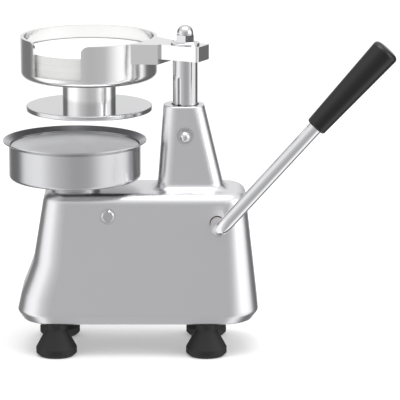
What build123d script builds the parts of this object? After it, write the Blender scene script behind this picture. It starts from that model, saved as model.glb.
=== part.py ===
from build123d import *
from math import atan, cos, pi, radians, sin, sqrt, tan
import os

# Hand burger press for 130 mm patties, in millimetres.
# X runs along the casting with the bowl at -X, the front with the lever at -Y, and Z is up.
# It is drawn with the main post's axis at X = Y = 0, then moved so that the origin is on the
# floor under the middle of its bounding box.

# Stance and casting
BASE_Z = 33.0            # underside of the casting above the floor
BELLY_Z = 43.0           # widest level of the flared skirt
FLARE_Z = 61.0           # lower part of the left end's flare
BEND_Z = 76.0            # upper part of the flare
WAIST_Z = 93.0           # level where the flare runs into the upright wall
TOP_Z = 164.0            # flat top of the body
WALL = 4.0               # wall of the main casting
LEFT_BASE, RIGHT_BASE, DEPTH_BASE = -163.0, 67.0, 50.5
LEFT_BELLY, RIGHT_BELLY, DEPTH_BELLY = -169.0, 73.5, 54.5
LEFT_TOP, RIGHT_TOP, DEPTH_TOP = -141.0, 60.0, 41.5
LEFT_FLARE, LEFT_BEND, LEFT_WAIST = -165.0, -159.0, -152.8
CORNER_BASE = 33.0       # plan corner radius of the skirt
CORNER_TOP = 22.0        # plan corner radius at the flat top
SHOULDER_R = 11.0        # rounding between walls and flat top
SKIRT_R = 5.0            # rounding at the skirt's widest level

# Neck that carries the post
NECK_TOP_Z = 249.0
NECK_LEFT_TOP, NECK_RIGHT_TOP, NECK_DEPTH_TOP = -21.7, 18.9, 18.0
NECK_LEFT_BASE, NECK_RIGHT_BASE, NECK_DEPTH_BASE = -28.0, 39.0, 22.5
NECK_CORNER = 14.0
NECK_ROOT_R = 9.0        # fillet between neck and body
NECK_LIP = 2.5           # thickness of the lip over the sleeve
LIP_GAP = 1.5            # open ring between the lip and the post
NECK_VOID_Z = 193.0      # top of the hollow part of the neck

# Post, arm and head
POST_R = 12.5
POST_BOTTOM_Z = 104.0
SWING = 28.0             # turn of the head between stored and pressing place
ARM_REACH = 111.0        # post axis to bowl axis
ARM_BOTTOM_Z = 294.5
ARM_THICK = 15.0         # its top is level with the tray's rim
ARM_WIDTH = 26.0
ARM_TAIL = 21.0          # arm end past the post axis
POST_SPIGOT_R = 9.0      # post where it passes through the arm
POST_STUD_R = 5.0        # threaded top of the post
POST_WASHER_R = 14.5
POST_WASHER = 2.0
SLOT_WIDTH = 4.0
SLOT_DEPTH = 2.4
SLOT_TOP_Z = 277.5
SLOT_BOTTOM_Z = 196.5
WEB_DROP = 5.0           # underside of the web below the arm's underside
WEB_END = 22.0           # web end, measured from the post axis
WEB_WIDE = 33.0          # half width of the web at the tray
WEB_NARROW = 17.0        # half width of the web at its end

# Paper tray
TRAY_R = 69.5
TRAY_WALL = 3.5
TRAY_DEPTH = 42.5
TRAY_FLOOR = 8.0
TRAY_CORNER_R = 7.5
TRAY_CUT_WIDTH = 55.0
TRAY_CUT_R = 7.0
PAPER_R = 64.0
PAPER_STACK = 21.5

# Stem and pressing plate
STEM_R = 27.2
STEM_FLARE = 1.0
STEM_LENGTH = 28.8
PLATE_R = 64.3
PLATE_THICK = 5.0
PLATE_BOLT_R = 4.0

# Bowl and ejector
BOWL_R = 66.2            # outside of the cylindrical wall
BOWL_SHEET = 1.2
BOWL_FLOOR_Z = 173.5     # underside of the bowl
BOWL_RIM_Z = 213.0
BOWL_RIM_R = 72.2
BOWL_FLARE_Z = 208.0
BOWL_CORNER_R = 4.0
BOSS_R = 25.0            # raised seat on the casting under the bowl
BOWL_SCREW_CIRCLE_R = 17.0
BOWL_SCREW_R = 2.5
BOWL_SCREW_HEAD_R = 4.5
BOWL_SCREW_HEAD = 1.8
BOWL_SCREW_LENGTH = 12.0
BOWL_SCREW_ANGLES = (90, 210, 330)
EJECTOR_BELOW_RIM = 5.5
EJECTOR_R = 64.4
EJECTOR_THICK = 2.5
EJECTOR_HUB_R = 12.0
EJECTOR_HUB = 8.0
EJECTOR_ROD_R = 6.0
ROD_NUT_R = 4.0          # threaded foot of the ejector rod

# Rack, pinion and lever shaft
MODULE = 1.75
PINION_TEETH = 24
PRESSURE = radians(20.0)
PINION_WIDTH = 12.0
PINION_HUB = 22.0        # over both hub ends
PINION_HUB_R = 12.0
PIN_R = 1.5
BACKLASH = 0.30
SHAFT_X, SHAFT_Z = 32.0, 136.0
SHAFT_R = 7.0
LIFT_TRAVEL = 20.0       # first stage: head, sleeve and ejector drop together
PRESS_TRAVEL = 20.0      # second stage: the post drops through the sleeve
LEVER_PLANE_Y = -87.0
LEVER_RISE = 48.0        # lever angle above the level at rest
BEND_R = 16.0            # centreline radius of the rod's bend
GRIP_START = 143.0       # from the shaft axis along the arm
GRIP_LENGTH = 104.0
GRIP_R_NEAR, GRIP_R_FAR = 10.4, 14.0
GRIP_BORE_DEPTH = 84.0

# Sleeve, guide screw, bridge and stop pin
SLEEVE_R = 15.0
SLEEVE_BOTTOM_Z = 192.5
SLEEVE_TOP_GAP = 0.5     # sleeve top below the neck lip
GUIDE_Z = 220.0
GUIDE_TIP_R = 2.5
GROOVE_DEPTH = 1.4
GUIDE_SCREW_R = 4.0
GUIDE_WASHER_R = 8.5
GUIDE_WASHER = 1.6
KEY_LENGTH = 14.0
COLLAR_R = 16.3
COLLAR_BORE_R = 13.0
COLLAR_THICK = 10.0
THRUST_WASHER = 1.5
BRIDGE_WIDTH = 16.0
BRIDGE_THICK = 12.0
BRIDGE_BOSS_R = 13.0
BRIDGE_WEB = 7.0
STOP_X, STOP_Z = -77.0, 143.6
STOP_R = 6.25
STOP_STAND = 5.0         # how far the pin head stands out of the wall
STOP_SPOT_R = 8.5        # spot face round the pin
SPOT_DEPTH = 0.8
BACK_SPOT_R = 13.0       # flat spot round the back end of the lever shaft
CLIP_THICK = 1.1         # retaining rings

# Bushes and feet
BUSH_WALL = 2.0
BUSH_SPACER_R = 18.4     # shoulder that keeps the pinion in the middle
BUSH_BOSS = 5.0          # boss inside the wall, round the bush
BUSH_LIP = 2.2           # wall left in front of the bush
LIP_HOLE_GAP = 0.6       # round the lever rod where it leaves the casting
FOOT_X_LEFT, FOOT_X_RIGHT, FOOT_Y = -129.5, 21.2, 41.0
FOOT_R, FOOT_NECK_R = 20.5, 10.5
FOOT_NECK_Z, FOOT_CONE_Z = 27.0, 8.5
FOOT_SCREW_R = 3.0
FOOT_CUP = 10.0          # depth of the screw's pocket under each foot
FOOT_POCKET_R = 8.0
FOOT_BOSS_R = 9.0
FOOT_BOSS_H = 16.0
COVER_THICK = 2.0
COVER_SCREW_R = 2.0
COVER_SCREW_HEAD_R, COVER_SCREW_HEAD, COVER_SCREW_LENGTH = 3.8, 2.0, 9.0
FOOT_SCREW_HEAD_R, FOOT_SCREW_HEAD, FOOT_SCREW_LENGTH = 5.5, 4.0, 36.0
GUIDE_NUT_FLATS, GUIDE_NUT_HEX, GUIDE_NUT_HEIGHT = 12.0, 4.5, 11.0
NUT_CROWN = 3.6          # metal left over the bore of a dome nut
POST_NUT_FLATS, POST_NUT_HEX, POST_NUT_HEIGHT = 17.0, 8.0, 17.6
COVER_LUG_R = 5.0
COVER_LUG_H = 10.0
COVER_LUG_ROOT = 1.2     # how far each lug's web runs into the end wall
COVER_INSET = 18.0       # cover screws from the ends of the underside

# Clearances
RUN = 0.05               # radial, shafts and pins that turn or slide
SEAT = 0.05              # radial, parts that stay put
REST_GAP = 0.3           # beside stops and covers
SIDE_PLAY = 0.1          # end play of the lever shaft

# Values that follow from the ones above
NECK_LIP_Z = NECK_TOP_Z - NECK_LIP
SLEEVE_TOP_Z = NECK_LIP_Z - SLEEVE_TOP_GAP
SLEEVE_BORE_R = SLEEVE_R + RUN
COLLAR_TOP_Z = SLEEVE_BOTTOM_Z - THRUST_WASHER
ARM_TOP_Z = ARM_BOTTOM_Z + ARM_THICK
TRAY_BOTTOM_Z = ARM_TOP_Z - TRAY_DEPTH
TRAY_FLOOR_Z = TRAY_BOTTOM_Z + TRAY_FLOOR
PAPER_TOP_Z = TRAY_FLOOR_Z + PAPER_STACK
PLATE_TOP_Z = TRAY_BOTTOM_Z - STEM_LENGTH
PLATE_BOTTOM_Z = PLATE_TOP_Z - PLATE_THICK
EJECTOR_TOP_Z = BOWL_RIM_Z - EJECTOR_BELOW_RIM
EJECTOR_BOTTOM_Z = EJECTOR_TOP_Z - EJECTOR_THICK
BRIDGE_TOP_Z = STOP_Z - STOP_R - REST_GAP
BRIDGE_BOTTOM_Z = BRIDGE_TOP_Z - BRIDGE_THICK
KEY_Z = SLOT_BOTTOM_Z + (SLOT_WIDTH + KEY_LENGTH) / 2 + REST_GAP
PITCH_R = MODULE * PINION_TEETH / 2
RACK_PITCH_R = SHAFT_X - PITCH_R
TOOTH_TIP = MODULE
PIN_Y = (PINION_WIDTH + PINION_HUB) / 4
TOOTH_ROOT = 1.25 * MODULE
RACK_PITCH = pi * MODULE
BOWL_AXIS = Location((-ARM_REACH, 0, 0))
BUSH_R = SHAFT_R + RUN + BUSH_WALL
EJECTOR_BUSH_R = EJECTOR_ROD_R + RUN + BUSH_WALL
HEAD_AT_REST = Rot(0, 0, -SWING)


def disc(radius, low, high, x=0.0, y=0.0):
    """Upright cylinder between two levels."""
    return Pos(x, y, (low + high) / 2) * Cylinder(radius, high - low)


def ring(outer, inner, low, high, x=0.0, y=0.0):
    """Upright tube between two levels."""
    return disc(outer, low, high, x, y) - disc(inner, low - 1, high + 1, x, y)


def crossbar(radius, x, z, front, back):
    """Cylinder along Y between two depths."""
    return Pos(x, (front + back) / 2, z) * Rot(90, 0, 0) * Cylinder(radius, back - front)


def section(z, left, right, half_depth, corner, inset):
    """One level of a hollow casting: a rounded rectangle, drawn in by the wall."""
    middle = (left + right) / 2
    outline = RectangleRounded(right - left - 2 * inset, 2 * (half_depth - inset), corner - inset)
    return Pos(middle, 0, z) * outline


def body_form(inset, low, high):
    """Body of the casting: flared skirt, upright walls and flat top."""
    base = section(low, LEFT_BASE, RIGHT_BASE, DEPTH_BASE, CORNER_BASE, inset)
    belly = section(BELLY_Z, LEFT_BELLY, RIGHT_BELLY, DEPTH_BELLY, CORNER_BASE, inset)
    levels = [belly]
    for z, left in ((FLARE_Z, LEFT_FLARE), (BEND_Z, LEFT_BEND), (WAIST_Z, LEFT_WAIST), (high, LEFT_TOP)):
        share = (z - BELLY_Z) / (high - BELLY_Z)
        corner = CORNER_BASE + share * (CORNER_TOP - CORNER_BASE)
        right = RIGHT_BELLY + share * (RIGHT_TOP - RIGHT_BELLY)
        depth = DEPTH_BELLY + share * (DEPTH_TOP - DEPTH_BELLY)
        levels.append(section(z, left, right, depth, corner, inset))
    walls = loft(levels[:2], ruled=True)
    for below, above in zip(levels[1:], levels[2:]):
        walls = walls + loft([below, above], ruled=True)
    return loft([base, belly], ruled=True) + walls


def neck_form(inset, low, high):
    """Neck: leans back on the left, slopes out on the right."""
    share = (high - TOP_Z) / (NECK_TOP_Z - TOP_Z)
    left = NECK_LEFT_BASE + share * (NECK_LEFT_TOP - NECK_LEFT_BASE)
    right = NECK_RIGHT_BASE + share * (NECK_RIGHT_TOP - NECK_RIGHT_BASE)
    depth = NECK_DEPTH_BASE + share * (NECK_DEPTH_TOP - NECK_DEPTH_BASE)
    foot = section(low, NECK_LEFT_BASE, NECK_RIGHT_BASE, NECK_DEPTH_BASE, NECK_CORNER, inset)
    crown = section(high, left, right, depth, NECK_CORNER, inset)
    return loft([foot, crown], ruled=True)


def wall_depth(z):
    """Distance of the body's flat front wall from the middle plane, at a level above the skirt."""
    share = (z - BELLY_Z) / (TOP_Z - BELLY_Z)
    return DEPTH_BELLY + share * (DEPTH_TOP - DEPTH_BELLY)


def neck_depth(z):
    """Distance of the neck's flat front from the middle plane."""
    share = (z - TOP_Z) / (NECK_TOP_Z - TOP_Z)
    return NECK_DEPTH_BASE + share * (NECK_DEPTH_TOP - NECK_DEPTH_BASE)


FOOT_PLACES = [(x, y) for x in (FOOT_X_LEFT, FOOT_X_RIGHT) for y in (-FOOT_Y, FOOT_Y)]
COVER_Z = BASE_Z + 3.0   # cover plate sits up inside the skirt
COVER_PLACES = [(LEFT_BASE + COVER_INSET, 0.0), (RIGHT_BASE - COVER_INSET, 0.0)]
FRONT_WALL = wall_depth(SHAFT_Z)
STOP_WALL = wall_depth(STOP_Z)
BUSH_SHOULDER_Y = FRONT_WALL - WALL - BUSH_BOSS
GUIDE_FACE = neck_depth(GUIDE_Z)
CLIP_Y = FRONT_WALL + 1.2  # shaft washer and its play lie between wall and clip


def housing():
    """Aluminium casting of body and neck, hollow from below."""
    outer = body_form(0, BASE_Z, TOP_Z)
    outer = fillet(outer.edges().filter_by_position(Axis.Z, TOP_Z - 0.1, TOP_Z + 0.1), SHOULDER_R)
    outer = fillet(outer.edges().filter_by_position(Axis.Z, BELLY_Z - 0.1, BELLY_Z + 0.1), SKIRT_R)
    outer = fillet(outer.edges().filter_by_position(Axis.Z, BASE_Z - 0.1, BASE_Z + 0.1), SKIRT_R / 2)
    neck = neck_form(0, TOP_Z, NECK_TOP_Z)
    outer = outer + neck
    root = outer.edges().filter_by_position(Axis.Z, TOP_Z - 0.1, TOP_Z + 0.1)
    root = [edge for edge in root if LEFT_TOP / 2 < edge.center().X < NECK_RIGHT_BASE + 1
            and abs(edge.center().Y) < NECK_DEPTH_BASE + 1]
    outer = fillet(root, NECK_ROOT_R)
    outer = fillet(outer.edges().filter_by_position(Axis.Z, NECK_TOP_Z - 0.1, NECK_TOP_Z + 0.1), 1.5)
    outer = outer + disc(BOSS_R, TOP_Z - WALL, BOWL_FLOOR_Z, -ARM_REACH)
    hollow = body_form(WALL, BASE_Z, TOP_Z - WALL) + neck_form(WALL, TOP_Z - WALL, NECK_VOID_Z)
    shell = outer - hollow
    floor_z = COVER_Z + COVER_THICK
    for x, y in FOOT_PLACES:
        shell = shell + disc(FOOT_BOSS_R, BASE_Z, floor_z + FOOT_BOSS_H, x, y)
        shell = shell - disc(FOOT_SCREW_R + SEAT, BASE_Z - 1, floor_z + FOOT_BOSS_H - 3, x, y)
    for x, y in COVER_PLACES:
        reach = (LEFT_BASE - COVER_LUG_ROOT) if x < 0 else (RIGHT_BASE + COVER_LUG_ROOT)
        lug = disc(COVER_LUG_R, floor_z, floor_z + COVER_LUG_H, x, y)
        bridge = Pos((x + reach) / 2, y, floor_z + COVER_LUG_H / 2) * Box(
            abs(reach - x), 2 * COVER_LUG_R, COVER_LUG_H)
        shell = shell + (lug + bridge) - disc(COVER_SCREW_R + SEAT, floor_z - 1,
                                              floor_z + COVER_SCREW_LENGTH - COVER_THICK + 1, x, y)
    shell = shell + disc(EJECTOR_BUSH_R + 4, TOP_Z - WALL - 10, TOP_Z, -ARM_REACH)
    shell = shell - disc(EJECTOR_BUSH_R + SEAT, BRIDGE_TOP_Z, BOWL_FLOOR_Z + 1, -ARM_REACH)
    shell = shell - disc(SLEEVE_BORE_R, NECK_VOID_Z - 1, NECK_LIP_Z)
    shell = shell - disc(POST_R + LIP_GAP, NECK_LIP_Z - 1, NECK_TOP_Z + 1)
    far = DEPTH_BELLY + 10
    for side in (-1, 1):
        inner = side * BUSH_SHOULDER_Y
        outer_end = side * (FRONT_WALL - BUSH_LIP)
        shell = shell + crossbar(BUSH_R + 5, SHAFT_X, SHAFT_Z, min(inner, outer_end), max(inner, outer_end))
    lip_y = FRONT_WALL - BUSH_LIP
    shell = shell - crossbar(BUSH_R + SEAT, SHAFT_X, SHAFT_Z, -lip_y, lip_y)
    shell = shell - crossbar(SHAFT_R + LIP_HOLE_GAP, SHAFT_X, SHAFT_Z, -far, far)
    shell = shell - crossbar(BACK_SPOT_R, SHAFT_X, SHAFT_Z, FRONT_WALL, far)
    shell = shell - crossbar(STOP_R - 1 + SEAT, STOP_X, STOP_Z, -far, far)
    shell = shell - crossbar(STOP_SPOT_R, STOP_X, STOP_Z, -far, -STOP_WALL + SPOT_DEPTH)
    shell = shell - crossbar(GUIDE_SCREW_R + SEAT, 0, GUIDE_Z, -far, -POST_R)
    shell = shell - crossbar(GUIDE_WASHER_R + SEAT, 0, GUIDE_Z, -far, -GUIDE_FACE + SPOT_DEPTH)
    for angle in BOWL_SCREW_ANGLES:
        x = -ARM_REACH + BOWL_SCREW_CIRCLE_R * cos(radians(angle))
        y = BOWL_SCREW_CIRCLE_R * sin(radians(angle))
        shell = shell - disc(BOWL_SCREW_R + SEAT, TOP_Z - WALL - 1, BOWL_FLOOR_Z + 1, x, y)
    return shell


def bottom_cover():
    """Sheet that closes the underside, notched round the foot bosses."""
    inset = WALL + REST_GAP + 0.3
    plate = section(COVER_Z, LEFT_BASE, RIGHT_BASE, DEPTH_BASE, CORNER_BASE, inset)
    plate = extrude(plate, COVER_THICK)
    for x, y in FOOT_PLACES:
        plate = plate - disc(FOOT_BOSS_R + REST_GAP, COVER_Z - 1, COVER_Z + COVER_THICK + 1, x, y)
    for x, y in COVER_PLACES:
        plate = plate - disc(COVER_SCREW_R + SEAT, COVER_Z - 1, COVER_Z + COVER_THICK + 1, x, y)
    return plate


def cap_screw(radius, head_r, head, length):
    """Pan head screw along +Z with the head's seat at z = 0 and a hexagon socket."""
    screw = disc(head_r, -head, 0) + disc(radius, 0, length)
    screw = screw - extrude(RegularPolygon(head_r * 0.5, 6), -head * 0.6).moved(Location((0, 0, -head * 0.4)))
    return chamfer(screw.edges().filter_by_position(Axis.Z, -head - 0.05, -head + 0.05)
                   .filter_by(GeomType.CIRCLE), head * 0.15)


def foot():
    """Rubber foot, a cone with a short neck, bored for its screw and washer."""
    with BuildPart() as rubber:
        with BuildSketch(Plane.XZ):
            with BuildLine():
                Polyline((0, 0), (FOOT_R - 3, 0), (FOOT_R, 3), (FOOT_R, FOOT_CONE_Z),
                         (FOOT_NECK_R, FOOT_NECK_Z), (FOOT_NECK_R, BASE_Z), (0, BASE_Z), (0, 0))
            make_face()
        revolve(axis=Axis.Z)
    pocket = disc(FOOT_POCKET_R, -1, FOOT_CUP) + disc(FOOT_SCREW_R + SEAT, 0, BASE_Z + 1)
    return rubber.part - pocket


def bowl():
    """Deep-drawn stainless bowl with a flared rim and a plain round hole for the ejector rod."""
    outside = BOWL_R
    inside = BOWL_R - BOWL_SHEET
    rise = BOWL_FLOOR_Z + BOWL_SHEET
    with BuildPart() as drawn:
        with BuildSketch(Plane.XZ):
            with BuildLine():
                Line((EJECTOR_BUSH_R + 1, BOWL_FLOOR_Z), (outside - BOWL_CORNER_R, BOWL_FLOOR_Z))
                TangentArc((outside - BOWL_CORNER_R, BOWL_FLOOR_Z), (outside, BOWL_FLOOR_Z + BOWL_CORNER_R),
                           tangent=(1, 0))
                Polyline((outside, BOWL_FLOOR_Z + BOWL_CORNER_R), (outside, BOWL_FLARE_Z),
                         (BOWL_RIM_R, BOWL_RIM_Z - BOWL_SHEET), (BOWL_RIM_R, BOWL_RIM_Z),
                         (BOWL_RIM_R - 1, BOWL_RIM_Z), (inside, BOWL_FLARE_Z + BOWL_SHEET / 2),
                         (inside, rise + BOWL_CORNER_R - BOWL_SHEET))
                TangentArc((inside, rise + BOWL_CORNER_R - BOWL_SHEET),
                           (inside - BOWL_CORNER_R + BOWL_SHEET, rise), tangent=(0, -1))
                Polyline((inside - BOWL_CORNER_R + BOWL_SHEET, rise), (EJECTOR_BUSH_R + 1, rise),
                         (EJECTOR_BUSH_R + 1, BOWL_FLOOR_Z))
            make_face()
        revolve(axis=Axis.Z)
    bowl_solid = drawn.part
    for angle in BOWL_SCREW_ANGLES:
        place = Rot(0, 0, angle) * Pos(BOWL_SCREW_CIRCLE_R, 0, 0)
        bowl_solid = bowl_solid - place * disc(BOWL_SCREW_R + SEAT, BOWL_FLOOR_Z - 1, rise + 1)
    return BOWL_AXIS * bowl_solid


def bowl_screws():
    """Three low-head screws that hold the bowl down on the casting."""
    seat = BOWL_FLOOR_Z + BOWL_SHEET
    screws = []
    for angle in BOWL_SCREW_ANGLES:
        place = BOWL_AXIS * Rot(0, 0, angle) * Pos(BOWL_SCREW_CIRCLE_R, 0, seat)
        screws.append(place * (disc(BOWL_SCREW_HEAD_R, 0, BOWL_SCREW_HEAD) + disc(
            BOWL_SCREW_R, -BOWL_SCREW_LENGTH, 0)))
    return Compound(screws)


def guide_screw():
    """Screw through the neck whose plain tip runs in the sleeve's helical groove."""
    tip = -SLEEVE_R + GROOVE_DEPTH - RUN * 4
    face = -GUIDE_FACE + SPOT_DEPTH
    head_end = face - GUIDE_WASHER - (GUIDE_NUT_HEIGHT - NUT_CROWN - REST_GAP)
    shank = crossbar(GUIDE_SCREW_R, 0, GUIDE_Z, head_end, -SLEEVE_BORE_R - 0.4)
    return shank + crossbar(GUIDE_TIP_R, 0, GUIDE_Z, -SLEEVE_BORE_R - 1, tip)


def guide_washer():
    """Flat washer in the neck's spot face."""
    face = -GUIDE_FACE + SPOT_DEPTH
    washer = crossbar(GUIDE_WASHER_R, 0, GUIDE_Z, face - GUIDE_WASHER, face)
    return washer - crossbar(GUIDE_SCREW_R + SEAT, 0, GUIDE_Z, face - GUIDE_WASHER - 1, face + 1)


def dome_nut(across_flats, hexagon, height, bore):
    """Dome nut standing on z = 0, bored from below."""
    hex_r = across_flats / 2
    nut = extrude(RegularPolygon(hex_r, 6, major_radius=False), hexagon)
    dome_r = hex_r * 0.94
    cap_r = (dome_r ** 2 + (height - hexagon) ** 2) / (2 * (height - hexagon))
    with BuildPart() as cap:
        with BuildSketch(Plane.XZ):
            with BuildLine():
                Line((0, 0), (dome_r, 0))
                Line((dome_r, 0), (dome_r, hexagon))
                RadiusArc((dome_r, hexagon), (0, height), -cap_r)
                Line((0, height), (0, 0))
            make_face()
        revolve(axis=Axis.Z)
    return nut + cap.part - disc(bore, -1, height - NUT_CROWN)


def stop_pin():
    """Cross pin that stops the lift bridge; its chamfered head shows on the front wall."""
    seat = -STOP_WALL + SPOT_DEPTH
    head = chamfer(crossbar(STOP_R, STOP_X, STOP_Z, seat - STOP_STAND, seat).edges()
                   .filter_by_position(Axis.Y, seat - STOP_STAND - 0.05, seat - STOP_STAND + 0.05), 1.2)
    shank = crossbar(STOP_R - 1, STOP_X, STOP_Z, seat, STOP_WALL + 4.5)
    groove = crossbar(STOP_R, STOP_X, STOP_Z, STOP_WALL + 1.4, STOP_WALL + 2.6)
    neck = crossbar(STOP_R - 2, STOP_X, STOP_Z, STOP_WALL, STOP_WALL + 4)
    return head + shank - (groove - neck)


def clip_ring(outer, inner, thickness):
    """Retaining ring lying on z = 0, open at one side."""
    washer = ring(outer, inner, 0, thickness)
    return washer - Pos(outer, 0, thickness / 2) * Box(outer, inner * 0.7, thickness * 3)


def stop_clip():
    """Retaining ring on the back end of the stop pin."""
    clip = clip_ring(STOP_R + 2, STOP_R - 2 + SEAT, CLIP_THICK)
    return Pos(STOP_X, STOP_WALL + 1.45 + CLIP_THICK, STOP_Z) * Rot(90, 0, 0) * clip


def ejector_bush():
    """Bronze bush in the casting that guides the ejector rod."""
    return ring(EJECTOR_BUSH_R, EJECTOR_ROD_R + RUN, TOP_Z - WALL - 10, BOWL_FLOOR_Z, -ARM_REACH)


def lift_bridge():
    """Cast arm that joins the sleeve's collar to the ejector rod."""
    collar = disc(COLLAR_R, COLLAR_TOP_Z - COLLAR_THICK, COLLAR_TOP_Z)
    web_x = -COLLAR_BORE_R - BRIDGE_WEB / 2 - 0.6
    web_mid = (COLLAR_TOP_Z + BRIDGE_BOTTOM_Z) / 2
    web = Pos(web_x, 0, web_mid) * Box(BRIDGE_WEB, BRIDGE_WIDTH, COLLAR_TOP_Z - BRIDGE_BOTTOM_Z)
    web = web + Pos(web_x / 2 - 6, 0, COLLAR_TOP_Z - COLLAR_THICK / 2) * Box(12, BRIDGE_WIDTH, COLLAR_THICK)
    left = -ARM_REACH
    right = web_x + BRIDGE_WEB / 2
    beam = Pos((left + right) / 2, 0, (BRIDGE_TOP_Z + BRIDGE_BOTTOM_Z) / 2) * Box(
        right - left, BRIDGE_WIDTH, BRIDGE_THICK)
    boss = disc(BRIDGE_BOSS_R, BRIDGE_BOTTOM_Z, BRIDGE_TOP_Z, left)
    bridge = collar + web + beam + boss
    bridge = bridge - disc(COLLAR_BORE_R, BRIDGE_BOTTOM_Z - 1, COLLAR_TOP_Z + 1)
    return bridge - disc(ROD_NUT_R + SEAT, BRIDGE_BOTTOM_Z - 1, BRIDGE_TOP_Z + 1, left)


def ejector_rod():
    """Rod between the bridge and the ejector plate, shouldered and threaded below."""
    rod = disc(EJECTOR_ROD_R, BRIDGE_TOP_Z, EJECTOR_BOTTOM_Z - EJECTOR_HUB / 2, -ARM_REACH)
    return rod + disc(ROD_NUT_R, BRIDGE_BOTTOM_Z - 9, BRIDGE_TOP_Z, -ARM_REACH)


def ejector_rod_nut():
    """Hexagon nut under the bridge."""
    nut = extrude(RegularPolygon(6.5, 6, major_radius=False), -6.5)
    nut = Pos(-ARM_REACH, 0, BRIDGE_BOTTOM_Z) * nut
    return nut - disc(ROD_NUT_R + SEAT, BRIDGE_BOTTOM_Z - 10, BRIDGE_BOTTOM_Z + 1, -ARM_REACH)


def ejector_plate():
    """Turned stainless disc with a hub that takes the rod; a centre mark shows on top."""
    plate = disc(EJECTOR_R, EJECTOR_BOTTOM_Z, EJECTOR_TOP_Z, -ARM_REACH)
    plate = chamfer(plate.edges().filter_by(GeomType.CIRCLE), 0.5)
    hub = disc(EJECTOR_HUB_R, EJECTOR_BOTTOM_Z - EJECTOR_HUB, EJECTOR_BOTTOM_Z, -ARM_REACH)
    socket = disc(EJECTOR_ROD_R + SEAT, EJECTOR_BOTTOM_Z - EJECTOR_HUB - 1, EJECTOR_BOTTOM_Z - EJECTOR_HUB / 2,
                  -ARM_REACH)
    mark = Pos(-ARM_REACH, 0, EJECTOR_TOP_Z) * Cone(0.2, 1.6, 1.4)
    return plate + hub - socket - mark


def thrust_washer():
    """Bronze washer between the collar and the turning sleeve."""
    return ring(COLLAR_R - 0.8, COLLAR_BORE_R, COLLAR_TOP_Z, SLEEVE_BOTTOM_Z)


def swing_sleeve():
    """Steel sleeve: its helical groove rides on the guide screw and turns the head."""
    sleeve = ring(SLEEVE_R, POST_R + RUN, SLEEVE_BOTTOM_Z, SLEEVE_TOP_Z)
    lead = LIFT_TRAVEL * 360 / SWING
    middle = SLEEVE_R - GROOVE_DEPTH / 2 + 0.5
    path = Helix(lead, LIFT_TRAVEL, middle, lefthand=True)
    profile = Plane(origin=path @ 0, x_dir=(1, 0, 0), z_dir=path % 0) * Rectangle(
        GROOVE_DEPTH + 1.0, 2 * (GUIDE_TIP_R + RUN))
    groove = sweep(profile, path=path, is_frenet=True)
    end_r = GUIDE_TIP_R + RUN
    start = Pos(middle, 0, 0) * Rot(0, 90, 0) * Cylinder(end_r, GROOVE_DEPTH + 1.0)
    finish = Rot(0, 0, -SWING) * Pos(middle, 0, LIFT_TRAVEL) * Rot(0, 90, 0) * Cylinder(
        end_r, GROOVE_DEPTH + 1.0)
    place = Pos(0, 0, GUIDE_Z) * Rot(0, 0, 270)
    sleeve = sleeve - place * (groove + start + finish)
    window = Pos(SLEEVE_R - 1, 0, KEY_Z) * Box(
        8, SLOT_WIDTH, KEY_LENGTH + 2 * SEAT)
    return sleeve - Rot(0, 0, 270 - SWING) * window


def sleeve_key():
    """Key through the sleeve wall that slides in the post's straight slot."""
    inner = POST_R - SLOT_DEPTH + REST_GAP
    outer = SLEEVE_R - 0.4
    key = Pos((inner + outer) / 2, 0, KEY_Z) * Box(outer - inner, SLOT_WIDTH - 2 * RUN, KEY_LENGTH)
    return Rot(0, 0, 270 - SWING) * key


def rack_grooves():
    """Ring grooves round the lower post that mesh with the pinion."""
    count_low = 2
    count_high = count_low + round((LIFT_TRAVEL + PRESS_TRAVEL) / RACK_PITCH)
    root_r = RACK_PITCH_R - TOOTH_ROOT
    tip_half = (RACK_PITCH / 2 + BACKLASH) / 2
    grooves = []
    for index in range(-count_low, count_high + 1):
        level = SHAFT_Z + index * RACK_PITCH
        half_root = tip_half - TOOTH_ROOT * tan(PRESSURE)
        half_open = tip_half + (POST_R + 0.5 - RACK_PITCH_R) * tan(PRESSURE)
        with BuildPart() as groove:
            with BuildSketch(Plane.XZ):
                with BuildLine():
                    Polyline((root_r, level - half_root), (POST_R + 0.5, level - half_open),
                             (POST_R + 0.5, level + half_open), (root_r, level + half_root),
                             (root_r, level - half_root))
                make_face()
            revolve(axis=Axis.Z)
        grooves.append(groove.part)
    return grooves


def post():
    """Hardened post: ring rack below, straight key slot, spigot and stud for the arm above."""
    body = disc(POST_R, POST_BOTTOM_Z, ARM_BOTTOM_Z)
    body = chamfer(body.edges().filter_by_position(Axis.Z, POST_BOTTOM_Z - 0.1, POST_BOTTOM_Z + 0.1), 1.0)
    body = body + disc(POST_SPIGOT_R, ARM_BOTTOM_Z, ARM_TOP_Z - 0.5)
    stud_top = ARM_TOP_Z + POST_WASHER + POST_NUT_HEIGHT - NUT_CROWN - REST_GAP
    body = body + disc(POST_STUD_R, ARM_TOP_Z - 0.5, stud_top)
    for groove in rack_grooves():
        body = body - groove
    clip_z = POST_BOTTOM_Z + 3
    body = body - ring(POST_R + 1, POST_R - 1.2, clip_z, clip_z + 1.6)
    low = SLOT_BOTTOM_Z + SLOT_WIDTH / 2
    high = SLOT_TOP_Z - SLOT_WIDTH / 2
    slot = SlotCenterToCenter(high - low, SLOT_WIDTH, rotation=90)
    slot = extrude(Plane(origin=(0, -POST_R - 1, (low + high) / 2), z_dir=(0, 1, 0), x_dir=(1, 0, 0)) * slot,
                   SLOT_DEPTH + 1)
    return HEAD_AT_REST * (body - slot)


def post_clip():
    """Retaining ring under the rack, the post's upper stop."""
    clip = clip_ring(POST_R + 2.3, POST_R - 1.2 + SEAT, 1.5)
    return HEAD_AT_REST * Pos(0, 0, POST_BOTTOM_Z + 3.05) * Rot(0, 0, 180) * clip


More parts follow.
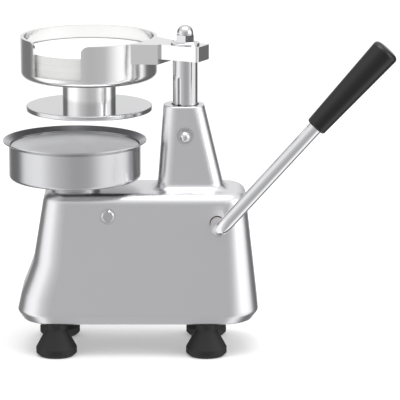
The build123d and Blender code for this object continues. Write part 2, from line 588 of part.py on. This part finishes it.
def head_casting():
    """Aluminium casting of arm, web and paper tray, in one piece."""
    tray = disc(TRAY_R, TRAY_BOTTOM_Z, ARM_TOP_Z, -ARM_REACH)
    tray = fillet(tray.edges().filter_by_position(Axis.Z, TRAY_BOTTOM_Z - 0.1, TRAY_BOTTOM_Z + 0.1),
                  TRAY_CORNER_R)
    near = -ARM_REACH + TRAY_R * 0.72
    web_plan = Polygon((near, -WEB_WIDE), (-WEB_END, -WEB_NARROW), (-WEB_END, WEB_NARROW), (near, WEB_WIDE),
                       align=None)
    web = extrude(Pos(0, 0, ARM_BOTTOM_Z - WEB_DROP) * web_plan, ARM_THICK + WEB_DROP)
    bar = Pos((ARM_TAIL + near) / 2, 0, ARM_BOTTOM_Z + ARM_THICK / 2) * Box(ARM_TAIL - near, ARM_WIDTH, ARM_THICK)
    arm = bar + web
    arm = fillet(arm.edges().filter_by(Axis.Z).filter_by_position(Axis.X, ARM_TAIL - 0.1, ARM_TAIL + 0.1), 2.5)
    casting = tray + arm - disc(TRAY_R - TRAY_WALL, TRAY_FLOOR_Z, ARM_TOP_Z + 10, -ARM_REACH)
    cut = Pos(-ARM_REACH, 0, 0) * Box(TRAY_CUT_WIDTH, TRAY_R, 2 * (ARM_TOP_Z - TRAY_FLOOR_Z))
    cut = Pos(0, -TRAY_R, ARM_TOP_Z) * cut
    casting = casting - cut
    corner = casting.edges().filter_by_position(Axis.Z, ARM_TOP_Z - 0.1, ARM_TOP_Z + 0.1)
    corner = [edge for edge in corner if edge.length < TRAY_WALL * 1.6 and edge.center().Y < -TRAY_R * 0.6]
    casting = fillet(corner, TRAY_CUT_R)
    casting = casting - disc(POST_SPIGOT_R + SEAT, ARM_BOTTOM_Z - 1, ARM_TOP_Z + 1)
    casting = casting - disc(PLATE_BOLT_R + SEAT, TRAY_BOTTOM_Z - 1, TRAY_FLOOR_Z + 1, -ARM_REACH)
    casting = casting - disc(PLATE_BOLT_R * 2 + SEAT, TRAY_FLOOR_Z - 4.5, TRAY_FLOOR_Z + 1, -ARM_REACH)
    return HEAD_AT_REST * casting


def press_stem():
    """Turned aluminium drum between tray and plate, slightly flared at the top."""
    with BuildPart() as drum:
        with BuildSketch(Plane.XZ):
            with BuildLine():
                Polyline((0, PLATE_TOP_Z), (STEM_R, PLATE_TOP_Z), (STEM_R, TRAY_BOTTOM_Z - 4),
                         (STEM_R + STEM_FLARE, TRAY_BOTTOM_Z), (0, TRAY_BOTTOM_Z), (0, PLATE_TOP_Z))
            make_face()
        revolve(axis=Axis.Z)
    stem = drum.part - disc(PLATE_BOLT_R + SEAT, PLATE_TOP_Z - 1, TRAY_BOTTOM_Z + 1)
    return HEAD_AT_REST * BOWL_AXIS * stem


def press_plate():
    """Polished plate with a rolled edge and a threaded centre."""
    plate = disc(PLATE_R, PLATE_BOTTOM_Z, PLATE_TOP_Z)
    plate = fillet(plate.edges().filter_by(GeomType.CIRCLE), 1.2)
    plate = plate - disc(PLATE_BOLT_R + SEAT, PLATE_BOTTOM_Z + 1.2, PLATE_TOP_Z + 1)
    return HEAD_AT_REST * BOWL_AXIS * plate


def stem_bolt():
    """Socket bolt from the tray floor through the stem into the plate."""
    head = disc(PLATE_BOLT_R * 2 - 1, TRAY_FLOOR_Z - 4.5, TRAY_FLOOR_Z - 0.3)
    shank = disc(PLATE_BOLT_R, PLATE_BOTTOM_Z + 1.5, TRAY_FLOOR_Z - 4.5)
    socket = Pos(0, 0, TRAY_FLOOR_Z - 3) * extrude(RegularPolygon(3.0, 6), 4)
    return HEAD_AT_REST * BOWL_AXIS * (head + shank - socket)


def paper_discs():
    """Stack of food paper discs in the tray."""
    return HEAD_AT_REST * BOWL_AXIS * disc(PAPER_R, TRAY_FLOOR_Z, PAPER_TOP_Z)


def post_washer():
    """Washer under the top dome nut."""
    washer = ring(POST_WASHER_R, POST_STUD_R + SEAT, ARM_TOP_Z, ARM_TOP_Z + POST_WASHER)
    return HEAD_AT_REST * chamfer(washer.edges().filter_by(GeomType.CIRCLE), 0.3)


def pinion():
    """Involute pinion keyed to the lever shaft."""
    base_r = PITCH_R * cos(PRESSURE)
    tip_r = PITCH_R + TOOTH_TIP
    root_r = PITCH_R - TOOTH_ROOT
    half_pitch_angle = pi / (2 * PINION_TEETH)
    lead_angle = tan(PRESSURE) - PRESSURE
    points = []
    for tooth in range(PINION_TEETH):
        centre = 2 * pi * tooth / PINION_TEETH
        flank = [(root_r, half_pitch_angle + lead_angle)]
        for step in range(5):
            radius = base_r + (tip_r - base_r) * step / 4
            roll = sqrt(max((radius / base_r) ** 2 - 1, 0.0))
            angle = half_pitch_angle + lead_angle - (roll - atan(roll))
            flank.append((radius, angle))
        for radius, angle in flank:
            points.append((radius * cos(centre - angle), radius * sin(centre - angle)))
        for radius, angle in reversed(flank):
            points.append((radius * cos(centre + angle), radius * sin(centre + angle)))
    gear = extrude(Polygon(*points, align=None), PINION_WIDTH / 2, both=True)
    gear = gear + Cylinder(PINION_HUB_R, PINION_HUB)
    gear = gear - Cylinder(SHAFT_R + SEAT, PINION_HUB * 2)
    gear = gear - Pos(0, 0, PIN_Y) * Rot(90, 0, 0) * Cylinder(PIN_R + SEAT, PINION_HUB_R * 3)
    return Pos(SHAFT_X, 0, SHAFT_Z) * Rot(90, 0, 0) * gear


def pinion_pin():
    """Cross pin that drives the pinion from the shaft."""
    return Pos(SHAFT_X, -PIN_Y, SHAFT_Z) * Cylinder(PIN_R, 2 * PINION_HUB_R)


def shaft_bush(side):
    """Bronze bush for the lever shaft: journal in the wall, wide shoulder up to the pinion's hub."""
    near = side * (PINION_HUB / 2 + SIDE_PLAY)
    shoulder = side * (BUSH_SHOULDER_Y - SIDE_PLAY)
    outer = side * (FRONT_WALL - BUSH_LIP - REST_GAP)
    journal = crossbar(BUSH_R - RUN, SHAFT_X, SHAFT_Z, min(near, outer), max(near, outer))
    spacer = crossbar(BUSH_SPACER_R, SHAFT_X, SHAFT_Z, min(near, shoulder), max(near, shoulder))
    return journal + spacer - crossbar(SHAFT_R + RUN, SHAFT_X, SHAFT_Z, -DEPTH_BELLY, DEPTH_BELLY)


def lever_rod():
    """Chromed round bar: shaft through the casting, bent square into the lever arm."""
    back = FRONT_WALL + 4.5
    rise = radians(LEVER_RISE)
    end = GRIP_START + GRIP_BORE_DEPTH - 1
    with BuildLine() as route:
        FilletPolyline((SHAFT_X, back, SHAFT_Z), (SHAFT_X, LEVER_PLANE_Y, SHAFT_Z),
                       (SHAFT_X + end * cos(rise), LEVER_PLANE_Y, SHAFT_Z + end * sin(rise)), radius=BEND_R)
    start = Plane(origin=(SHAFT_X, back, SHAFT_Z), z_dir=(0, -1, 0), x_dir=(1, 0, 0))
    rod = sweep(start * Circle(SHAFT_R), path=route.wires()[0])
    groove = crossbar(SHAFT_R + 1, SHAFT_X, SHAFT_Z, CLIP_Y - SEAT, CLIP_Y + CLIP_THICK + SEAT)
    rod = rod - (groove - crossbar(SHAFT_R - 1, SHAFT_X, SHAFT_Z, FRONT_WALL, FRONT_WALL + 5))
    return rod - Pos(SHAFT_X, -PIN_Y, SHAFT_Z) * Cylinder(PIN_R + SEAT, 3 * SHAFT_R)


def shaft_clip():
    """Retaining ring on the back end of the lever shaft."""
    clip = clip_ring(SHAFT_R + 2.5, SHAFT_R - 1 + SEAT, CLIP_THICK)
    return Pos(SHAFT_X, CLIP_Y + CLIP_THICK, SHAFT_Z) * Rot(90, 0, 0) * clip


def shaft_washer():
    """Steel washer between the casting's back wall and the retaining ring."""
    washer = crossbar(SHAFT_R + 5, SHAFT_X, SHAFT_Z, FRONT_WALL + SIDE_PLAY, CLIP_Y - SIDE_PLAY)
    return washer - crossbar(SHAFT_R + SEAT, SHAFT_X, SHAFT_Z, FRONT_WALL, FRONT_WALL + 4)


def grip():
    """Moulded handle, wider towards its domed end."""
    end = GRIP_START + GRIP_LENGTH
    dome = 5.0
    with BuildPart() as handle:
        with BuildSketch(Plane.XZ):
            with BuildLine():
                Polyline((0, GRIP_START), (GRIP_R_NEAR - 1, GRIP_START), (GRIP_R_NEAR, GRIP_START + 1.5),
                         (GRIP_R_FAR, end - dome))
                Spline((GRIP_R_FAR, end - dome), (0, end), tangents=((0, 1), (-1, 0)))
                Line((0, end), (0, GRIP_START))
            make_face()
        revolve(axis=Axis.Z)
    handle = handle.part - disc(SHAFT_R + SEAT, GRIP_START - 1, GRIP_START + GRIP_BORE_DEPTH)
    return Pos(SHAFT_X, LEVER_PLANE_Y, SHAFT_Z) * Rot(0, 90 - LEVER_RISE, 0) * handle


GUIDE_NUT_SEAT = Pos(0, -GUIDE_FACE + SPOT_DEPTH - GUIDE_WASHER, GUIDE_Z) * Rot(90, 0, 0)
POST_NUT_SEAT = HEAD_AT_REST * Pos(0, 0, ARM_TOP_Z + POST_WASHER)
PARTS = {
    "housing": housing(),
    "bottom_cover": bottom_cover(),
    "cover_screws": Compound([Pos(x, y, COVER_Z) * cap_screw(
        COVER_SCREW_R, COVER_SCREW_HEAD_R, COVER_SCREW_HEAD, COVER_SCREW_LENGTH)
                              for x, y in COVER_PLACES]),
    "rubber_feet": Compound([Pos(x, y, 0) * foot() for x, y in FOOT_PLACES]),
    "foot_screws": Compound([Pos(x, y, FOOT_CUP) * cap_screw(
        FOOT_SCREW_R, FOOT_SCREW_HEAD_R, FOOT_SCREW_HEAD, FOOT_SCREW_LENGTH)
                             for x, y in FOOT_PLACES]),
    "bowl": bowl(),
    "bowl_screws": bowl_screws(),
    "guide_screw": guide_screw(),
    "guide_washer": guide_washer(),
    "guide_nut": GUIDE_NUT_SEAT * dome_nut(GUIDE_NUT_FLATS, GUIDE_NUT_HEX, GUIDE_NUT_HEIGHT,
                                             GUIDE_SCREW_R + SEAT),
    "stop_pin": stop_pin(),
    "stop_clip": stop_clip(),
    "ejector_bush": ejector_bush(),
    "lift_bridge": lift_bridge(),
    "ejector_rod": ejector_rod(),
    "ejector_rod_nut": ejector_rod_nut(),
    "ejector_plate": ejector_plate(),
    "thrust_washer": thrust_washer(),
    "swing_sleeve": swing_sleeve(),
    "sleeve_key": sleeve_key(),
    "post": post(),
    "post_clip": post_clip(),
    "head_casting": head_casting(),
    "press_stem": press_stem(),
    "press_plate": press_plate(),
    "stem_bolt": stem_bolt(),
    "paper_discs": paper_discs(),
    "post_washer": post_washer(),
    "post_nut": POST_NUT_SEAT * dome_nut(POST_NUT_FLATS, POST_NUT_HEX, POST_NUT_HEIGHT, POST_STUD_R + SEAT),
    "front_shaft_bush": shaft_bush(-1),
    "rear_shaft_bush": shaft_bush(1),
    "lever_rod": lever_rod(),
    "pinion": pinion(),
    "pinion_pin": pinion_pin(),
    "shaft_washer": shaft_washer(),
    "shaft_clip": shaft_clip(),
    "grip": grip(),
}

box = Compound(list(PARTS.values())).bounding_box()
middle_x, middle_y = box.center().X, box.center().Y
os.makedirs("parts", exist_ok=True)
for name, shape in PARTS.items():
    moved = Pos(-middle_x, -middle_y, 0) * shape
    moved.label = name
    export_step(moved, "parts/" + name + ".step")
print(len(PARTS), "sub-parts written; post axis at", round(-middle_x, 4), round(-middle_y, 4))
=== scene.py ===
import bmesh
import bpy
from math import cos, pi, radians, sin
from random import Random
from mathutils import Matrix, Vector


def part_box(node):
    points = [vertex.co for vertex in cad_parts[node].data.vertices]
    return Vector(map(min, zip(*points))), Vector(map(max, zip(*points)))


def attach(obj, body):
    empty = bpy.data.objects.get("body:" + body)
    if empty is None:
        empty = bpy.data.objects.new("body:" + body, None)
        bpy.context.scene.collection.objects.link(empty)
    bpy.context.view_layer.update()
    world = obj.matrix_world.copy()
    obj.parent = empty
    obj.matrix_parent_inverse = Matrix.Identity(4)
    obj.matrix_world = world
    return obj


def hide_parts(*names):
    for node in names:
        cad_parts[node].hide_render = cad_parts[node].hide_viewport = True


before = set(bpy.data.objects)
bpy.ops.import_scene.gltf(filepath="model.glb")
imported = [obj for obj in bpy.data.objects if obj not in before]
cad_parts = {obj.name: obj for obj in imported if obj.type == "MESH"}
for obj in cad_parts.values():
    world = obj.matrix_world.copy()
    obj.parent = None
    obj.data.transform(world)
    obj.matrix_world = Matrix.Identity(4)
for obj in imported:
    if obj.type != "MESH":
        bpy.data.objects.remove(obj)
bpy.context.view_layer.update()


# Camera: a long lens three metres off, square to the front of the press and a little above it.
# Its place, tilt and focal length were fitted to the press's round edges.
MM = 0.001
CAMERA_AT = (3.61 * MM, -3105.89 * MM, 835.31 * MM)
CAMERA_TILT = 12.48
FOCAL_PIXELS = 3140
IMAGE_PIXELS = 400
SENSOR_WIDTH = 36

lens = bpy.data.cameras.new("camera")
lens.sensor_width = SENSOR_WIDTH
lens.sensor_fit = "HORIZONTAL"
lens.lens = FOCAL_PIXELS / IMAGE_PIXELS * SENSOR_WIDTH
camera = bpy.data.objects.new("camera", lens)
camera.location = CAMERA_AT
camera.rotation_euler = (radians(90 - CAMERA_TILT), 0, 0)
bpy.context.scene.collection.objects.link(camera)
bpy.context.scene.camera = camera
bpy.context.scene.view_settings.view_transform = "Standard"


# Room: pale walls that are brighter at the sides than in front, with a dark gap at each rear
# quarter, and a plain ceiling. Polished metal shows it as upright bands. The camera sees white.
# Each stop is a share of a turn, from behind by the left, the front and the right, and a level.
WALL_STOPS = ((0.0, 1.0), (0.04, 0.95), (0.09, 0.26), (0.19, 0.22), (0.23, 1.3), (0.33, 1.5), (0.40, 0.9),
              (0.5, 0.58), (0.58, 0.64), (0.645, 1.3), (0.78, 1.45), (0.82, 0.18), (0.93, 0.17),
              (0.965, 0.95), (1.0, 1.0))
WALL_TOP, CEILING_EDGE = 0.30, 0.6
CEILING_LEVEL = 1.1
ROOM_STRENGTH = 0.9
WHITE = (1, 1, 1, 1)


def add(tree, kind, links=None, **settings):
    """Adds a node, sets its properties or inputs, and links its inputs."""
    node = tree.nodes.new(kind)
    for name, value in settings.items():
        if hasattr(node, name):
            setattr(node, name, value)
        else:
            node.inputs[name.replace("_", " ")].default_value = value
    for name, source in (links or {}).items():
        tree.links.new(source, node.inputs[name])
    return node


def ramp(tree, source, stops):
    """Colour ramp through grey stops of (position, level)."""
    node = add(tree, "ShaderNodeValToRGB", {"Fac": source})
    elements = node.color_ramp.elements
    while len(elements) < len(stops):
        elements.new(0.5)
    for element, (place, level) in zip(elements, stops):
        element.position = place
        element.color = (level, level, level, 1)
    return node.outputs["Color"]


world = bpy.data.worlds.new("studio")
bpy.context.scene.world = world
world.use_nodes = True
sky = world.node_tree
sky.nodes.clear()
direction = add(sky, "ShaderNodeTexCoord").outputs["Generated"]
split = add(sky, "ShaderNodeSeparateXYZ", {"Vector": direction})
ahead = add(sky, "ShaderNodeMath", {0: split.outputs["Y"]}, operation="MULTIPLY")
ahead.inputs[1].default_value = -1
around = add(sky, "ShaderNodeMath", {0: split.outputs["X"], 1: ahead.outputs[0]}, operation="ARCTAN2")
turn = add(sky, "ShaderNodeMapRange", {"Value": around.outputs[0]}, From_Min=-pi, From_Max=pi)
walls = ramp(sky, turn.outputs["Result"], WALL_STOPS)
height = ramp(sky, split.outputs["Z"], ((0.0, 0.0), (WALL_TOP, 0.0), (CEILING_EDGE, 1.0), (1.0, 1.0)))
room = add(sky, "ShaderNodeMix", {"Factor": height, "A": walls}, data_type="RGBA")
room.inputs["B"].default_value = (CEILING_LEVEL, CEILING_LEVEL, CEILING_LEVEL, 1)
room_light = add(sky, "ShaderNodeBackground", {"Color": room.outputs["Result"]}, Strength=ROOM_STRENGTH)
backdrop = add(sky, "ShaderNodeBackground", Color=WHITE, Strength=1.0)
seen = add(sky, "ShaderNodeLightPath")
choose = add(sky, "ShaderNodeMixShader",
             {"Fac": seen.outputs["Is Camera Ray"], 1: room_light.outputs[0], 2: backdrop.outputs[0]})
add(sky, "ShaderNodeOutputWorld", {"Surface": choose.outputs[0]})


# Lamps: one broad softbox overhead, which lays the soft shadow under the press, and a weaker
# one to the right, which lightens the right end of the casting.
def softbox(name, place, size, power, aim):
    """Rectangular area lamp aimed at a point, in metres and watts."""
    lamp = bpy.data.lights.new(name, "AREA")
    lamp.shape = "RECTANGLE"
    lamp.size, lamp.size_y = size
    lamp.energy = power
    box = bpy.data.objects.new(name, lamp)
    box.location = place
    box.rotation_euler = (Vector(aim) - Vector(place)).to_track_quat("-Z", "Y").to_euler()
    bpy.context.scene.collection.objects.link(box)


softbox("overhead", place=(0.0, -0.2, 1.6), size=(1.4, 1.0), power=12, aim=(0, 0, 0.1))
softbox("right_side", place=(1.5, -0.6, 0.7), size=(0.8, 1.2), power=5, aim=(0, 0, 0.15))


# Floor: a white table top. It is lifted to white for the camera alone, keeps the shadow, and
# isn't mirrored in the metal, where the room's bands show instead.
FLOOR_HALF = 6
TABLE_LEVEL = 0.82
TABLE_LIFT = 0.25

floor_mesh = bpy.data.meshes.new("floor")
shape = bmesh.new()
bmesh.ops.create_grid(shape, x_segments=1, y_segments=1, size=FLOOR_HALF)
shape.to_mesh(floor_mesh)
shape.free()
floor = bpy.data.objects.new("floor", floor_mesh)
bpy.context.scene.collection.objects.link(floor)
table = bpy.data.materials.new("white_table")
table.use_nodes = True
top = table.node_tree
top.nodes.clear()
matt = add(top, "ShaderNodeBsdfDiffuse", Color=(TABLE_LEVEL, TABLE_LEVEL, TABLE_LEVEL, 1))
glow = add(top, "ShaderNodeEmission", Color=WHITE, Strength=TABLE_LIFT)
path = add(top, "ShaderNodeLightPath")
lit = add(top, "ShaderNodeAddShader", {0: matt.outputs[0], 1: glow.outputs[0]})
bright = add(top, "ShaderNodeMixShader",
             {"Fac": path.outputs["Is Camera Ray"], 1: matt.outputs[0], 2: lit.outputs[0]})
add(top, "ShaderNodeOutputMaterial", {"Surface": bright.outputs[0]})
floor_mesh.materials.append(table)
floor.visible_glossy = False


# Casting: body and neck are one hollow aluminium casting, blasted and lightly brushed, and the
# bridge inside it is cast too. That gives wide soft reflections with a faint grit.
# Here and below, grit and brush lines are drawn coarser than the real ones, so that they show.
METAL, NOT_METAL = 1.0, 0.0
EVEN = (1, 1, 1)
NOISE_DETAIL = 4.0
BUMP_STRENGTH = 0.6
CAST_GRIT = 1.2 * MM


def linear(hex_colour):
    """sRGB hex colour as a linear RGBA tuple."""
    channels = [int(hex_colour[i:i + 2], 16) / 255 for i in (1, 3, 5)]
    straight = [c / 12.92 if c <= 0.04045 else ((c + 0.055) / 1.055) ** 2.4 for c in channels]
    return (*straight, 1.0)


def finish(name, colour, metallic, spacing, stretch, rough, lift=0.0):
    """Material whose fine texture varies its roughness and, with a lift, raises a small bump."""
    material = bpy.data.materials.new(name)
    material.use_nodes = True
    tree = material.node_tree
    shader = tree.nodes["Principled BSDF"]
    shader.inputs["Base Color"].default_value = linear(colour)
    shader.inputs["Metallic"].default_value = metallic
    place = add(tree, "ShaderNodeTexCoord")
    scale = add(tree, "ShaderNodeMapping", {"Vector": place.outputs["Object"]}, Scale=stretch)
    noise = add(tree, "ShaderNodeTexNoise", {"Vector": scale.outputs[0]},
                Scale=1 / spacing, Detail=NOISE_DETAIL)
    spread = add(tree, "ShaderNodeMapRange", {"Value": noise.outputs["Fac"]},
                 To_Min=rough[0], To_Max=rough[1])
    tree.links.new(spread.outputs["Result"], shader.inputs["Roughness"])
    if lift:
        bump = add(tree, "ShaderNodeBump", {"Height": noise.outputs["Fac"]},
                   Distance=lift, Strength=BUMP_STRENGTH)
        tree.links.new(bump.outputs[0], shader.inputs["Normal"])
    return material


def coat(material, *nodes):
    """Gives CAD pieces one material."""
    for node in nodes:
        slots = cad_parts[node].data.materials
        slots.clear()
        slots.append(material)


coat(finish("cast_aluminium_satin", "#E0E0E2", METAL, CAST_GRIT, EVEN, rough=(0.26, 0.36), lift=0.03 * MM),
     "housing", "lift_bridge")


# Feet: moulded black rubber cones, screwed up into the casting. Matt, with a faint bloom.
RUBBER_GRIT = 1.5 * MM

coat(finish("rubber_black_matt", "#101010", NOT_METAL, RUBBER_GRIT, EVEN, rough=(0.55, 0.7), lift=0.03 * MM),
     "rubber_feet")


# Bowl and ejector: drawn and turned stainless steel, brushed round, so that light is drawn out
# into upright bands. The cover, the sleeve and the pinion are of the same steel.
BRUSH_LINE = 0.8 * MM
BRUSHED_ROUND = (0.05, 0.05, 1)

coat(finish("stainless_brushed", "#C9C9CB", METAL, BRUSH_LINE, BRUSHED_ROUND,
            rough=(0.19, 0.30), lift=0.01 * MM),
     "bowl", "ejector_plate", "bottom_cover", "ejector_rod", "swing_sleeve", "pinion")


# Post, pressing plate, stop pin and the nuts and washers that show: ground and polished steel,
# with clear reflections and faint upright marks.
POLISH_LINE = 1.0 * MM
POLISHED_UP = (1, 1, 0.1)

coat(finish("steel_polished", "#D2D2D4", METAL, POLISH_LINE, POLISHED_UP, rough=(0.09, 0.16)),
     "press_plate", "post", "post_washer", "post_nut", "guide_washer", "guide_nut", "stop_pin")


# Press head: arm, web and paper tray are one aluminium casting, polished on a wheel, with the
# turned drum bolted under it. Clear reflections with faint wheel marks.
WHEEL_MARK = 1.5 * MM
WHEELED_UP = (1, 1, 0.15)

coat(finish("cast_aluminium_polished", "#EBEBEB", METAL, WHEEL_MARK, WHEELED_UP,
            rough=(0.12, 0.22), lift=0.01 * MM),
     "head_casting", "press_stem")


# Lever bar: round steel bar, bent cold and plated with bright chromium. Almost a mirror.
CHROME_RIPPLE = 4.0 * MM

coat(finish("chrome_plated_steel", "#DEDEE0", METAL, CHROME_RIPPLE, EVEN, rough=(0.04, 0.09)), "lever_rod")


# Grip: black thermoset moulded onto the bar. Satin gloss with a fine skin.
MOULDED_SKIN = 0.6 * MM

coat(finish("bakelite_black_satin", "#070708", NOT_METAL, MOULDED_SKIN, EVEN,
            rough=(0.26, 0.36), lift=0.01 * MM),
     "grip")


# Bushes and thrust washer: machined sintered bronze, dull with oil.
BRONZE_GRIT = 1.0 * MM

coat(finish("bronze_machined", "#7D6440", METAL, BRONZE_GRIT, EVEN, rough=(0.28, 0.42)),
     "ejector_bush", "thrust_washer", "front_shaft_bush", "rear_shaft_bush")


# Screws, pins, rings and the key: zinc-plated steel, a slightly cloudy grey.
ZINC_CLOUD = 2.0 * MM

coat(finish("steel_zinc_plated", "#B9BBBD", METAL, ZINC_CLOUD, EVEN, rough=(0.25, 0.4)),
     "cover_screws", "foot_screws", "bowl_screws", "guide_screw", "stop_clip", "ejector_rod_nut",
     "sleeve_key", "post_clip", "stem_bolt", "pinion_pin", "shaft_washer", "shaft_clip")


# Food paper: a stack of discs lying loose in the tray, each a little out of line with the next,
# so that the edge of the stack shows its layers. A layer here stands for several sheets.
PAPER_LAYERS = 24
PAPER_SIDES = 96
PAPER_DRIFT = 0.35 * MM
LEAST_DRIFT = 0.2
PAPER_GAP = 0.06 * MM
PAPER_SEED = 7
PAPER_FIBRE = 0.5 * MM
LAID_FLAT = (0.02, 0.02, 1)

paper_low, paper_high = (Vector(corner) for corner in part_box("paper_discs"))
paper_middle = (paper_low + paper_high) / 2
paper_radius = (paper_high.x - paper_low.x) / 2 - PAPER_DRIFT
layer_height = (paper_high.z - paper_low.z) / PAPER_LAYERS
draw = Random(PAPER_SEED)
sheets = bmesh.new()
for layer in range(PAPER_LAYERS):
    disc = bmesh.ops.create_cone(sheets, cap_ends=True, segments=PAPER_SIDES, radius1=paper_radius,
                                 radius2=paper_radius, depth=layer_height - PAPER_GAP)
    heading = draw.uniform(0, 2 * pi)
    drift = draw.uniform(LEAST_DRIFT, 1.0) * PAPER_DRIFT
    level = paper_low.z + (layer + 0.5) * layer_height
    bmesh.ops.translate(sheets, verts=disc["verts"], vec=(
        paper_middle.x + drift * cos(heading), paper_middle.y + drift * sin(heading), level))
paper_mesh = bpy.data.meshes.new("paper_stack")
sheets.to_mesh(paper_mesh)
sheets.free()
paper_stack = bpy.data.objects.new("paper_stack", paper_mesh)
bpy.context.scene.collection.objects.link(paper_stack)
paper_mesh.materials.append(
    finish("paper_white", "#E9E9E8", NOT_METAL, PAPER_FIBRE, LAID_FLAT, rough=(0.55, 0.65), lift=0.04 * MM))
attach(paper_stack, "head")
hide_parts("paper_discs")
